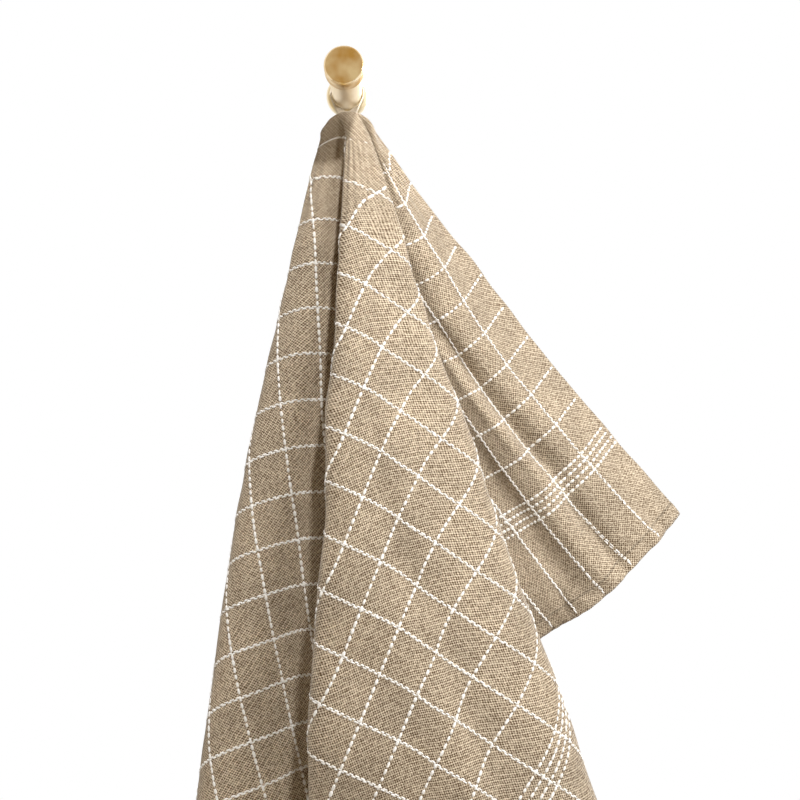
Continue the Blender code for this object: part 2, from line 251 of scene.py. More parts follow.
def even_reach(place):
    """A smooth length for every line, the same as its own at the table's rows. The mid and foot columns
    are places along it, so the folds run on evenly past the cloth's corners."""
    at_rows = fold_values(np.arange(len(FOLDS), dtype=float))["reach"]
    return smooth_between(at_rows[:, None], place)[:, 0]


def parabola(neck, mid, foot, share):
    """The curve through a value at share 0, one at a half and one at 1, for each fold line."""
    return (
        neck[:, None] * (1 - share) * (1 - 2 * share)
        + mid[:, None] * 4 * share * (1 - share)
        + foot[:, None] * share * (2 * share - 1)
    )


def hanging_rows(fold, length, share):
    """Points down each fold line: x and out are parabolas, and z falls by what they leave of each step's
    length, which is the root of its square less theirs, but never less than a small part of it."""
    x = parabola(fold["neck_x"], fold["mid_x"], fold["foot_x"], share)
    out = parabola(fold["neck_out"], fold["mid_out"], fold["foot_out"], share)
    step = (length * fold["take_up"])[:, None] * np.diff(share)
    sideways = np.hypot(np.diff(x), np.diff(out))
    drop = np.sqrt(np.maximum(step**2 - sideways**2, (LEAST_DROP * step) ** 2))
    z = fold["neck_z"][:, None] - np.pad(np.cumsum(drop, axis=1), ((0, 0), (1, 0)))
    return np.stack([x, -out, z], axis=-1)


# The strip above the gather. Between two rows of the table it stands up as an arch about a middle, whose
# top sags towards its sides, and rolls over backwards. It runs out over some rows, and beyond them it is
# a short lip, with so much of the arch's sweep and radius. Its first part eases out of the gather.
ROLL_FIRST = 0.5
ROLL_LAST = 14
ROLL_RUN_OUT = 2
ROLL_HALF_WIDTH = 17 * MM
ROLL_MIDDLE_X = 1.5 * MM
ROLL_TOP_Z = -11.5 * MM
ROLL_SAG = 10 * MM
ROLL_OUT = 19 * MM
ROLL_RADIUS = 4 * MM
ROLL_START = math.radians(-20)
ROLL_END = math.radians(205)
LIP_SWEEP = 0.2
LEAST_LIP = 0.25
PART_EASED_IN = 0.45


def rolled_rows(fold, place, share):
    """Points from the gather, share 0, up the strip above it to the hung edge, share 1. Each line there
    is part of a circle that leans back over the tape, and eases into the gather at its foot."""
    arched = ease((place - ROLL_FIRST) / ROLL_RUN_OUT) * ease((ROLL_LAST - place) / ROLL_RUN_OUT)
    side = 1 - 2 * np.clip((place - ROLL_FIRST) / (ROLL_LAST - ROLL_FIRST), 0, 1)
    radius = ROLL_RADIUS * np.clip(fold["cut_u"] / GATHER_DEPTH, LEAST_LIP, 1)
    lip_out = fold["neck_out"] - radius * math.cos(ROLL_START)
    lip_z = fold["neck_z"] + radius * (1 - math.sin(ROLL_START))
    middle_x = arched * (ROLL_MIDDLE_X + side * ROLL_HALF_WIDTH) + (1 - arched) * fold["neck_x"]
    middle_out = arched * ROLL_OUT + (1 - arched) * lip_out
    top_z = arched * (ROLL_TOP_Z - ROLL_SAG * side**2) + (1 - arched) * lip_z
    sweep = (ROLL_END - ROLL_START) * (LIP_SWEEP + (1 - LIP_SWEEP) * arched)
    turn = ROLL_START + sweep[:, None] * share
    out = middle_out[:, None] + radius[:, None] * np.cos(turn)
    z = top_z[:, None] + radius[:, None] * (np.sin(turn) - 1)
    rolled = np.stack([np.broadcast_to(middle_x[:, None], z.shape), -out, z], axis=-1)
    neck = np.stack([fold["neck_x"], -fold["neck_out"], fold["neck_z"]], axis=-1)[:, None]
    gathered = 1 - ease(share / PART_EASED_IN)[:, None]
    return neck * gathered + rolled * (1 - gathered)


def eased(points, passes):
    """Rounds a stack of lines: each but the first and last moves to the mean of itself, twice, and its
    two neighbours."""
    for _ in range(passes):
        points[1:-1] = (points[:-2] + 2 * points[1:-1] + points[2:]) / 4


def normals_of(points):
    """Unit normals of a grid of points: the cross product of its two directions."""
    normal = np.cross(np.gradient(points, axis=0), np.gradient(points, axis=1))
    return normal / np.maximum(np.linalg.norm(normal, axis=-1, keepdims=True), TINY)


def between(grid, number, row):
    """Values of a grid at fractional line and row numbers, the weighted mean of the four around."""
    i = np.clip(np.floor(number).astype(int), 0, grid.shape[0] - 2)
    j = np.clip(np.floor(row).astype(int), 0, grid.shape[1] - 2)
    a, b = (number - i)[..., None], (row - j)[..., None]
    return ((1 - a) * (1 - b) * grid[i, j] + a * (1 - b) * grid[i + 1, j]
            + (1 - a) * b * grid[i, j + 1] + a * b * grid[i + 1, j + 1])


# The even sheet, a few steps too long, with lines between the table's rows and rows that crowd towards
# the gather. It is rounded across its folds, and along the lines near the gather.
LINES_PER_FOLD = 14
ROWS_PER_STEP = 6
ROLL_STEPS = 7
CLOTH_STEPS = 20
SPARE_STEPS = 3
EASED_STEPS = 5
ROW_CROWDING = 1.35
FOLD_ROUNDING = 24
GATHER_ROUNDING = 108
roll_rows = ROLL_STEPS * ROWS_PER_STEP
below_rows = CLOTH_STEPS * ROWS_PER_STEP
spare_rows = SPARE_STEPS * ROWS_PER_STEP
line_place = np.linspace(0, len(FOLDS) - 1, (len(FOLDS) - 1) * LINES_PER_FOLD + 1)
line = fold_values(line_place)
even_length = even_reach(line_place)
roll_share = np.linspace(1, 0, roll_rows + 1)[:-1]
spare_share = (np.arange(below_rows + spare_rows + 1) / below_rows) ** ROW_CROWDING
cloth = np.concatenate([rolled_rows(line, line_place, roll_share),
                        hanging_rows(line, even_length, spare_share)], axis=1)
eased(cloth, FOLD_ROUNDING)
eased(cloth[:, : roll_rows + EASED_STEPS * ROWS_PER_STEP].transpose(1, 0, 2), GATHER_ROUNDING)

# The sheet cut to the cloth's own outline, with rows close together in the hem
ROWS_ABOVE_HEM = 117
HEM_ROWS = (0.962, 0.9665, 0.9705, 0.9735, 0.977, 0.982, 0.988, 0.994, 1.0)
row_share = np.concatenate([(np.arange(ROWS_ABOVE_HEM) / below_rows) ** ROW_CROWDING, HEM_ROWS])
row_number = below_rows * ((line["reach"] / even_length)[:, None] * row_share) ** (1 / ROW_CROWDING)
line_number = np.arange(len(line_place), dtype=float)[:, None]
cloth_below = between(cloth, line_number, roll_rows + row_number)
cloth = np.concatenate([cloth[:, :roll_rows], cloth_below], axis=1)

# Where each point of the grid lies in the flat cloth
flat_below = np.stack([line["cut_u"][:, None] + row_share * (line["reach"] * line["down"])[:, None],
                       line["cut_v"][:, None] + row_share * (line["reach"] * line["along"])[:, None]],
                      axis=-1)
flat_roll = np.stack([line["cut_u"][:, None] * (1 - roll_share),
                      np.broadcast_to(line["cut_v"][:, None], (len(line_place), roll_rows))], axis=-1)
flat = np.concatenate([flat_roll, flat_below], axis=1)

# Soft creases laid in the flat cloth: from one end to the other, each a trough (height below 0)
# or a ridge (above 0) that rounds off over its width and fades out at both ends. All in millimetres.
CREASE_COLUMNS = ("name", "from_u", "from_v", "to_u", "to_v", "width", "height")
CREASES = (
    ("ridge on the right panel", 84, 115, 75, 270, 5, 2.6),
    ("trough beside it", 71, 140, 60, 280, 9, -8),
    ("trough down to the hem", 66, 275, 74, 350, 7, -6),
    ("swell beside that", 86, 270, 92, 350, 8, 2.4),
    ("trough near the fold", 110, 180, 112, 345, 11, -4),
    ("pucker at the hem", 130, 325, 134, 350, 5, -2.2),
    ("pucker by the corner", 26, 318, 30, 350, 6, -1.6),
    ("dent in the front panel", 250, 60, 300, 120, 16, -2.2),
    ("drag line, front panel", 120, 20, 230, 60, 9, -1.4),
    ("valley down the front panel", 235, 105, 372, 268, 16, -5),
    ("swell, front panel", 330, 60, 400, 180, 22, 3),
    ("wrinkle on the left panel", 392, -104, 424, -136, 4.5, -2.4),
    ("valley beside the front panel", 190, -48, 330, -82, 9, -4),
    ("valley low on the left panel", 320, -82, 500, -110, 17, -9),
    ("drag line, left panel", 150, -60, 300, -95, 8, 1.4),
    ("dent low on the left panel", 430, -60, 470, -120, 14, -1.8),
    ("dent, back panel", 200, -180, 330, -210, 16, -2.4),
    ("drag line, back panel", 90, -120, 180, -230, 8, 1.5),
)
CREASE_OVERRUN = 0.15
CREASE_FADE = 0.4


def crease_height(flat):
    """How far the creases lift each point: a bell curve across each crease, times a smooth fade at both
    ends, which starts and stops a little outside them."""
    height = np.zeros(flat.shape[:-1])
    for row in CREASES:
        crease = dict(zip(CREASE_COLUMNS[1:], np.array(row[1:]) * MM))
        start = np.array([crease["from_u"], crease["from_v"]])
        run = np.array([crease["to_u"], crease["to_v"]]) - start
        length = np.linalg.norm(run)
        away = flat - start
        along = away @ run / length**2
        across = (away[..., 0] * run[1] - away[..., 1] * run[0]) / length
        fade_in = ease((along + CREASE_OVERRUN) / CREASE_FADE)
        fade_out = ease((1 + CREASE_OVERRUN - along) / CREASE_FADE)
        height += crease["height"] * fade_in * fade_out * np.exp(-((across / crease["width"]) ** 2))
    return height


def unevenness(flat, seed, waves, shortest, longest):
    """A sum of sine waves in random directions, with wavelengths between two sizes, from -1 to 1 or so."""
    draw = np.random.default_rng(seed)
    total = np.zeros(flat.shape[:-1])
    for _ in range(waves):
        turn, phase = draw.uniform(0, 2 * math.pi, 2)
        number = 2 * math.pi / np.exp(draw.uniform(math.log(shortest), math.log(longest)))
        total += np.sin(number * (flat[..., 0] * math.cos(turn) + flat[..., 1] * math.sin(turn)) + phase)
    return total / math.sqrt(waves)


# Puckers run across the hem and fade out just past its seam, at so many of its widths from the edge.
# Small pleats fan out from the gather, and gentle waves lie everywhere. All but the puckers start from
# nothing at the gather, as the creases do, and are full at a distance from it.
HEM_WIDTH = 10 * MM
HEM_PUCKER = 1.7 * MM
PUCKER_STRETCH = (1, 0.3)
PUCKER_ENDS_AT = 1.2
PUCKER_FADE = 0.8
PLEAT_HEIGHT = 0.7 * MM
PLEAT_REACH = 45 * MM
PLEATS_PER_FOLD = 1.7
PLEAT_FULL_AT = 18 * MM
SHORT_WAVE = 0.4 * MM
LONG_WAVE = 1.1 * MM
WAVE_FULL_AT = 90 * MM
CREASE_FULL_AT = 40 * MM
from_gather = np.concatenate([np.zeros((len(line_place), roll_rows)),
                              line["reach"][:, None] * row_share], axis=1)
to_hem = CLOTH_LENGTH / 2 - np.abs(flat[..., 1])
in_hem = ease((PUCKER_ENDS_AT - to_hem / HEM_WIDTH) / PUCKER_FADE)
puckers = HEM_PUCKER * in_hem * unevenness(flat * PUCKER_STRETCH, seed=5, waves=9,
                                           shortest=10 * MM, longest=24 * MM)
pleats = (PLEAT_HEIGHT * np.sin(2 * math.pi * PLEATS_PER_FOLD * line_place)[:, None]
          * np.exp(-from_gather / PLEAT_REACH) * ease(from_gather / PLEAT_FULL_AT))
short_waves = SHORT_WAVE * unevenness(flat, seed=11, waves=12, shortest=30 * MM, longest=70 * MM)
long_waves = LONG_WAVE * unevenness(flat, seed=31, waves=10, shortest=80 * MM, longest=190 * MM)
wavy = (short_waves + long_waves) * ease(from_gather / WAVE_FULL_AT)
lift = crease_height(flat) * ease(from_gather / CREASE_FULL_AT) + puckers + pleats + wavy
cloth = cloth + normals_of(cloth) * lift[..., None]
cloth_normal = normals_of(cloth)

# The turned hems are nearly two layers thick, with a step at their inner edge, and the cloth is a little
# thicker along its woven edges, each by a share of one layer
HEM_STEP_RUN = 0.8 * MM
HEM_EXTRA = 0.7
WOVEN_EDGE_WIDTH = 3 * MM
WOVEN_EDGE_RUN = 1.5 * MM
WOVEN_EDGE_EXTRA = 0.35
to_long_edge = np.minimum(flat[..., 0], CLOTH_WIDTH - flat[..., 0])
hem_step = ease((HEM_WIDTH - to_hem) / HEM_STEP_RUN + 0.5)
woven_edge = ease((WOVEN_EDGE_WIDTH - to_long_edge) / WOVEN_EDGE_RUN + 0.5)
layers = 1 + HEM_EXTRA * hem_step + WOVEN_EDGE_EXTRA * woven_edge * (1 - hem_step)
half_thickness = CLOTH_THICKNESS / 2 * layers


def shell_of(points, normals, half, flat):
    """A closed shell about a grid of points: one surface half a thickness out along the normals, one half
    a thickness in, and a strip of faces around their edges. Its UV map is the flat place, in metres."""
    lines, rows = points.shape[:2]
    front = points + normals * half[..., None]
    back = points - normals * half[..., None]
    vertices = np.concatenate([front.reshape(-1, 3), back.reshape(-1, 3)])
    index = np.arange(lines * rows).reshape(lines, rows)
    quads = np.stack([index[:-1, :-1], index[1:, :-1], index[1:, 1:], index[:-1, 1:]], axis=-1)
    quads = quads.reshape(-1, 4)
    rim = np.concatenate([index[:, 0], index[-1, 1:], index[-2::-1, -1], index[0, -2:0:-1]])
    after = np.roll(rim, -1)
    count = lines * rows
    edge = np.stack([after, rim, rim + count, after + count], axis=-1)
    faces = np.concatenate([quads, quads[:, ::-1] + count, edge])
    return vertices, faces, np.concatenate([flat.reshape(-1, 2)] * 2)[faces.ravel()]


def mesh_piece(name, vertices, faces, material, uv=None):
    """A smooth-shaded piece from arrays of points and of faces with equal corners."""
    mesh = bpy.data.meshes.new(name)
    mesh.vertices.add(len(vertices))
    mesh.vertices.foreach_set("co", np.ascontiguousarray(vertices, np.float32).ravel())
    corners = faces.shape[1]
    mesh.loops.add(faces.size)
    mesh.loops.foreach_set("vertex_index", np.ascontiguousarray(faces, np.int32).ravel())
    mesh.polygons.add(len(faces))
    mesh.polygons.foreach_set("loop_start", np.arange(0, faces.size, corners, dtype=np.int32))
    if uv is not None:
        mesh.uv_layers.new(name="flat cloth").data.foreach_set("uv", uv.astype(np.float32).ravel())
    mesh.materials.append(material)
    mesh.update(calc_edges=True)
    mesh.validate()
    mesh.shade_smooth()
    piece = bpy.data.objects.new(name, mesh)
    bpy.context.scene.collection.objects.link(piece)
    return piece


THREAD = 1.0 * MM
DRIFT = 0.9 * MM
DRIFT_SIZE = 4 * MM
WALE = 0.2
FLECK = 0.32


def woven(material, place):
    """How light the weave is at a place in metres, from 0 to 1: the product of two sine waves, a float or
    a pit to each thread, plus a faint diagonal wale. A noise makes the threads drift a little, and every
    float is lighter or darker by chance."""
    wander = add(material, "ShaderNodeTexNoise",
                 {"Vector": place, "Scale": 1 / DRIFT_SIZE, "Detail": 2.0})
    offset = add(material, "ShaderNodeVectorMath",
                 {0: wander.outputs["Color"], 1: (0.5, 0.5, 0.5)}, operation="SUBTRACT")
    drift = add(material, "ShaderNodeVectorMath", {0: offset.outputs[0], "Scale": DRIFT}, operation="SCALE")
    drifted = add(material, "ShaderNodeVectorMath", {0: place, 1: drift.outputs[0]}, operation="ADD")
    count = add(material, "ShaderNodeVectorMath",
                {0: drifted.outputs[0], "Scale": 1 / THREAD}, operation="SCALE")
    turns = add(material, "ShaderNodeVectorMath",
                {0: count.outputs[0], "Scale": math.pi}, operation="SCALE")
    split = add(material, "ShaderNodeSeparateXYZ", {0: turns.outputs[0]})
    weft = add(material, "ShaderNodeMath", {0: split.outputs["X"]}, operation="SINE")
    warp = add(material, "ShaderNodeMath", {0: split.outputs["Y"]}, operation="SINE")
    floats = add(material, "ShaderNodeMath",
                 {0: weft.outputs[0], 1: warp.outputs[0]}, operation="MULTIPLY")
    slant = add(material, "ShaderNodeMath",
                {0: split.outputs["X"], 1: split.outputs["Y"]}, operation="ADD")
    half_slant = add(material, "ShaderNodeMath", {0: slant.outputs[0], 1: 0.5}, operation="MULTIPLY")
    wale = add(material, "ShaderNodeMath", {0: half_slant.outputs[0]}, operation="SINE")
    faint_wale = add(material, "ShaderNodeMath", {0: wale.outputs[0], 1: WALE}, operation="MULTIPLY")
    weave = add(material, "ShaderNodeMath",
                {0: floats.outputs[0], 1: faint_wale.outputs[0]}, operation="ADD")
    height = add(material, "ShaderNodeMapRange",
                 {"Value": weave.outputs[0], "From Min": -0.9, "From Max": 0.9},
                 interpolation_type="SMOOTHSTEP")
    cell = add(material, "ShaderNodeVectorMath", {0: count.outputs[0]}, operation="FLOOR")
    chance = add(material, "ShaderNodeTexWhiteNoise", {"Vector": cell.outputs[0]})
    fleck = add(material, "ShaderNodeMapRange",
                {"Value": chance.outputs["Value"], "To Min": -FLECK, "To Max": FLECK})
    light = add(material, "ShaderNodeMath",
                {0: height.outputs[0], 1: fleck.outputs[0]}, operation="ADD", use_clamp=True)
    return light.outputs[0]


GATHERED_THREADS_PER_MM = 1.04
SEAM_SHADE_HALF_WIDTH = 1.3 * MM
WEAR_SIZE = 40 * MM


def cotton_twill(name):
    """Slack-spun cotton twill, tan on brown: light where a thread floats and dark in the pits between, that
    darkness partly the brown of the cloth and partly painted shade of the pits, with a matt bloom of fibre.
    Its thread is drawn 1 mm wide, coarser than real, so that it shows. Where the cloth is gathered its
    pleats are finer than the sheet shows, so there the weave is read from the hanging shape instead of the
    flat cloth. A faint dark line of painted shade follows the seam of each hem, standing in for the shade
    of its stitched groove."""
    material, shader = new_material(name)
    uv = add(material, "ShaderNodeUVMap", uv_map="flat cloth")
    place = add(material, "ShaderNodeTexCoord")
    seen = add(material, "ShaderNodeSeparateXYZ", {0: place.outputs["Object"]})
    facing = add(material, "ShaderNodeCombineXYZ", {"X": seen.outputs["Z"], "Y": seen.outputs["X"]})
    hanging = add(material, "ShaderNodeVectorMath",
                  {0: facing.outputs[0], "Scale": GATHERED_THREADS_PER_MM * THREAD / MM}, operation="SCALE")
    gathered = add(material, "ShaderNodeAttribute", attribute_name="gathered")
    shade = add(material, "ShaderNodeMix",
                {0: gathered.outputs["Fac"], 2: woven(material, uv.outputs[0]),
                 3: woven(material, hanging.outputs[0])})
    # Painted shade: the weave's pits take the dark brown, partly the cloth's own and partly the shade that
    # falls in them.
    weave_and_pit_shade = add(material, "ShaderNodeMix",
               {0: shade.outputs[0], 6: from_hex("#553d20"), 7: from_hex("#dccbb0")}, data_type="RGBA")
    cloud = add(material, "ShaderNodeTexNoise",
                {"Vector": uv.outputs[0], "Scale": 1 / WEAR_SIZE, "Detail": 3.0})
    worn = add(material, "ShaderNodeMapRange",
               {"Value": cloud.outputs[0], "From Min": 0.35, "From Max": 0.65,
                "To Min": 0.9, "To Max": 1.08})
    across = add(material, "ShaderNodeSeparateXYZ", {0: uv.outputs[0]})
    from_middle = add(material, "ShaderNodeMath", {0: across.outputs["Y"]}, operation="ABSOLUTE")
    from_seam = add(material, "ShaderNodeMath",
                    {0: from_middle.outputs[0], 1: CLOTH_LENGTH / 2 - HEM_WIDTH}, operation="SUBTRACT")
    off_seam = add(material, "ShaderNodeMath", {0: from_seam.outputs[0]}, operation="ABSOLUTE")
    # Painted shade: a faint dark line along each hem's seam stands in for the shade of its stitched groove.
    seam_shade = add(material, "ShaderNodeMapRange",
               {"Value": off_seam.outputs[0], "From Max": SEAM_SHADE_HALF_WIDTH, "To Min": 0.66, "To Max": 1.0},
               interpolation_type="SMOOTHSTEP")
    shaded = add(material, "ShaderNodeMath",
                 {0: worn.outputs[0], 1: seam_shade.outputs[0]}, operation="MULTIPLY")
    tone = add(material, "ShaderNodeVectorMath",
               {0: weave_and_pit_shade.outputs[2], "Scale": shaded.outputs[0]}, operation="SCALE")
    relief = add(material, "ShaderNodeBump",
                 {"Height": shade.outputs[0], "Strength": 0.7, "Distance": 0.3 * MM})
    feed(material, shader, {"Base Color": tone.outputs[0], "Normal": relief.outputs[0],
                            "Roughness": 0.92, "IOR": 1.45,
                            "Sheen Weight": 0.45, "Sheen Roughness": 0.4})
    return material


# How gathered each point is: fully up to a distance from the gather, fading to nothing further down
GATHERED_TO = 25 * MM
GATHERED_FADE = 50 * MM
vertices, faces, uv = shell_of(cloth, cloth_normal, half_thickness, flat)
towel = mesh_piece("towel_cloth", vertices, faces, cotton_twill("tan_cotton_twill"), uv)
gathered = np.tile(1 - ease((from_gather - GATHERED_TO) / GATHERED_FADE).ravel(), 2)
attribute = towel.data.attributes.new("gathered", "FLOAT", "POINT")
attribute.data.foreach_set("value", gathered.astype(np.float32))
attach(towel, "root")
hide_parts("towel")

# ---------------------------------------------------------------------------------------------------
# The white yarns of the check: thick soft cotton that floats over the twill in short dashes. Across the
# towel it is one heavy slub yarn, and along it two finer yarns side by side whose dashes alternate.
# ---------------------------------------------------------------------------------------------------
STRIPE_PITCH_V = 26.85 * MM
STRIPES_EACH_SIDE = 10
BAND_PITCH = 4.8 * MM
BAND_STRIPES = 4
STRIPE_FIRST_U = 36.5 * MM
STRIPE_PITCH_U = 30.5 * MM
STRIPES_DOWN = 15
EDGE_MARGIN = 2.5 * MM
SLUB_PERIOD = 4.8 * MM
SLUB_LENGTH = 3.8 * MM
SLUB_WIDTH = 1.7 * MM
SLUB_HEIGHT = 0.95 * MM
SLUB_CORNERS = 6
FINE_PERIOD = 4.0 * MM
FINE_LENGTH = 2.9 * MM
FINE_WIDTH = 1.1 * MM
FINE_HEIGHT = 0.7 * MM
FINE_SPACING = 1.0 * MM
FINE_CORNERS = 4
FIBRE_SIZE = 0.5 * MM
YARN_SEED = 23

# The stretches of the cut edge, between the corners' fold lines
fold_names = [row[0] for row in FOLDS]
front_corner_line = fold_names.index("front corner") * LINES_PER_FOLD
back_corner_line = fold_names.index("back corner") * LINES_PER_FOLD
front_hem = slice(0, front_corner_line + 1)
long_edge = slice(front_corner_line, back_corner_line + 1)
back_hem = slice(back_corner_line, len(line_place))
edge_u, edge_v = flat[:, -1, 0], flat[:, -1, 1]
CROSSED_FROM = 0.004
CROSSED_TO = 0.9999
LEAST_SLANT = 1e-3


def track(at, share, slant, edge_place, target, edges):
    """A line of the flat cloth as its crossings with the fold lines: how far along it each lies, and the
    line and row number there, in order. A fold line is crossed where the share down it is within its
    length and it isn't parallel. The track ends on each given stretch of the cut edge where edge_place,
    the place along that edge, reaches the target."""
    met = (share > CROSSED_FROM) & (share < CROSSED_TO) & (slant > LEAST_SLANT)
    number = np.arange(len(line_place), dtype=float)
    row = roll_rows + np.interp(share, row_share, np.arange(len(row_share)))
    at, number, row = at[met], number[met], row[met]
    for lines, end_at in edges:
        place = edge_place[lines]
        order = np.argsort(place)
        if place.min() <= target <= place.max():
            end = np.interp(target, place[order], np.arange(len(line_place))[lines][order])
            at, number = np.append(at, end_at), np.append(number, end)
            row = np.append(row, cloth.shape[1] - 1)
    order = np.argsort(at)
    return at[order], number[order], row[order]


def track_across(v):
    """The line of the flat cloth at one v, from the gather or the hung edge to the far long edge."""
    share = (v - line["cut_v"]) / (line["along"] * line["reach"] + TINY)
    u = line["cut_u"] + share * line["reach"] * line["down"]
    return track(u, share, np.abs(line["along"]), edge_v, v, [(long_edge, CLOTH_WIDTH)])


def track_along(u):
    """The line of the flat cloth at one u, from hem to hem."""
    share = (u - line["cut_u"]) / (line["down"] * line["reach"] + TINY)
    v = line["cut_v"] + share * line["reach"] * line["along"]
    return track(v, share, line["down"], edge_u, u,
                 [(front_hem, CLOTH_LENGTH / 2), (back_hem, -CLOTH_LENGTH / 2)])


# The rings of a dash: their places, in half lengths from its middle, and their sizes. The spreads say
# how much dashes differ in place, as a part of their period, and in size.
RING_PLACES = np.array([-1, -0.5, 0.5, 1])
RING_SIZES = np.array([0.35, 1, 1, 0.35])
PLACE_SPREAD = 0.05
SIZE_SPREAD = 0.1
YARN_STANDS = 0.15


def dash_places(crossings, period, length, start, draw):
    """Where a yarn's dashes lie along its track: for each dash the places of its rings, as line and row
    numbers. The dashes differ a little in length and place, as slub yarn does."""
    at, number, row = crossings
    centre = np.arange(at[0] + EDGE_MARGIN + start, at[-1] - EDGE_MARGIN, period)
    centre = centre + draw.normal(0, PLACE_SPREAD * period, len(centre))
    half = length / 2 * draw.normal(1, SIZE_SPREAD, len(centre))
    points = centre[:, None] + half[:, None] * RING_PLACES
    return np.interp(points, at, number), np.interp(points, at, row)


def yarn_floats(name, places, side, width, height, corners, material, draw):
    """Dashes of yarn: rings along each, an ellipse in section with so many corners, full in the middle
    and narrow at both ends. Their middles stand a small part of their height above the cloth's surface
    on one side of it, so they are sunk in it."""
    number, row = (np.concatenate(part) for part in zip(*places))
    middle = between(cloth, number, row)
    out = between(cloth_normal, number, row) * side
    out /= np.linalg.norm(out, axis=-1, keepdims=True)
    thick = between(half_thickness[..., None], number, row)
    along = np.gradient(middle, axis=1)
    along /= np.maximum(np.linalg.norm(along, axis=-1, keepdims=True), TINY)
    across = np.cross(along, out)
    taper = RING_SIZES[:, None] * draw.normal(1, SIZE_SPREAD, (len(middle), 1, 1))
    centre = middle + out * (thick + YARN_STANDS * height)
    turn = np.arange(corners) * 2 * math.pi / corners
    ring = (centre[:, :, None]
            + across[:, :, None] * (width / 2 * taper * np.cos(turn))[..., None]
            + out[:, :, None] * (height / 2 * taper * np.sin(turn))[..., None])
    count = len(RING_SIZES)
    base = np.arange(len(ring))[:, None, None] * count * corners
    rings = np.arange(count - 1)[:, None] * corners
    k = np.arange(corners)
    after = (k + 1) % corners
    quads = np.stack(np.broadcast_arrays(base + rings + k, base + rings + corners + k,
                                         base + rings + corners + after, base + rings + after), axis=-1)
    cap = np.array([(0, first, first + 1, first + 2) for first in range(1, corners - 2, 2)])
    ends = [base + cap, base + (count - 1) * corners + cap[:, ::-1]]
    faces = np.concatenate([quads.reshape(-1, 4), *(end.reshape(-1, 4) for end in ends)])
    return mesh_piece(name, ring.reshape(-1, 3), faces, material)


def cotton_yarn(name):
    """Bleached soft-spun cotton yarn: off-white, matt and a little fuzzy, with fine twisted fibre that
    breaks up its light."""
    material, shader = new_material(name)
    place = add(material, "ShaderNodeTexCoord")
    fibre = add(material, "ShaderNodeTexNoise",
                {"Vector": place.outputs["Object"], "Scale": 1 / FIBRE_SIZE, "Detail": 3.0})
    tone = add(material, "ShaderNodeMix",
               {0: fibre.outputs[0], 6: from_hex("#f4efe6"), 7: from_hex("#fdfbf7")}, data_type="RGBA")
    relief = add(material, "ShaderNodeBump",
                 {"Height": fibre.outputs[0], "Strength": 0.5, "Distance": 0.1 * MM})
    feed(material, shader, {"Base Color": tone.outputs[2], "Normal": relief.outputs[0],
                            "Roughness": 0.9, "Sheen Weight": 0.2})
    return material


# Where the stripes lie in the flat cloth. The outermost one on each side is the first of a band of four.
across_v = [(STRIPES_EACH_SIDE - k) * STRIPE_PITCH_V for k in range(2 * STRIPES_EACH_SIDE + 1)]
across_v += [sign * (STRIPES_EACH_SIDE * STRIPE_PITCH_V + n * BAND_PITCH)
             for sign in (1, -1) for n in range(1, BAND_STRIPES)]
along_u = [STRIPE_FIRST_U + m * STRIPE_PITCH_U for m in range(STRIPES_DOWN)]
two_yarns = ((-FINE_SPACING / 2, 0), (FINE_SPACING / 2, FINE_PERIOD / 2))
white_yarn = cotton_yarn("bleached_cotton_yarn")
draw = np.random.default_rng(YARN_SEED)
slubs = [dash_places(track_across(v), SLUB_PERIOD, SLUB_LENGTH, draw.uniform(0, SLUB_PERIOD), draw)
         for v in across_v]
fines = [dash_places(track_along(u + shift), FINE_PERIOD, FINE_LENGTH, start, draw)
         for u in along_u for shift, start in two_yarns]
yarns = []
for side, face in ((1, "right_side"), (-1, "reverse")):
    yarns.append(yarn_floats("crosswise_yarn_" + face, slubs, side,
                             SLUB_WIDTH, SLUB_HEIGHT, SLUB_CORNERS, white_yarn, draw))
    yarns.append(yarn_floats("lengthwise_yarn_" + face, fines, side,
                             FINE_WIDTH, FINE_HEIGHT, FINE_CORNERS, white_yarn, draw))
for piece in yarns:
    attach(piece, "root")

# ---------------------------------------------------------------------------------------------------
# The hanging loop: a flat woven cotton tape that goes over the peg's stem beside the rosette. Both ends
# are sewn flat behind the rolled edge of the cloth.
# ---------------------------------------------------------------------------------------------------
TAPE_WIDTH = 5 * MM
TAPE_COLUMNS = 9
TAPE_HALF_THICKNESS = 0.45 * MM
TAPE_OUT = 8.6 * MM
TAPE_BEND_RADIUS = 10.65 * MM
TAPE_END_X = 3.3 * MM
TAPE_END_OUT = 14.05 * MM
TAPE_END_TOP_Z = -14.5 * MM
TAPE_END_LENGTH = 4.5 * MM
TAPE_MIDDLE_Z = 0.33 * MM
TAPE_SPREAD_POWER = 0.8
TAPE_TWIST_SPEED = 1.5
TAPE_END_ROWS = 8
TAPE_STRAND_ROWS = 30
TAPE_BEND_ROWS = 25
TAPE_RIB = 0.8 * MM


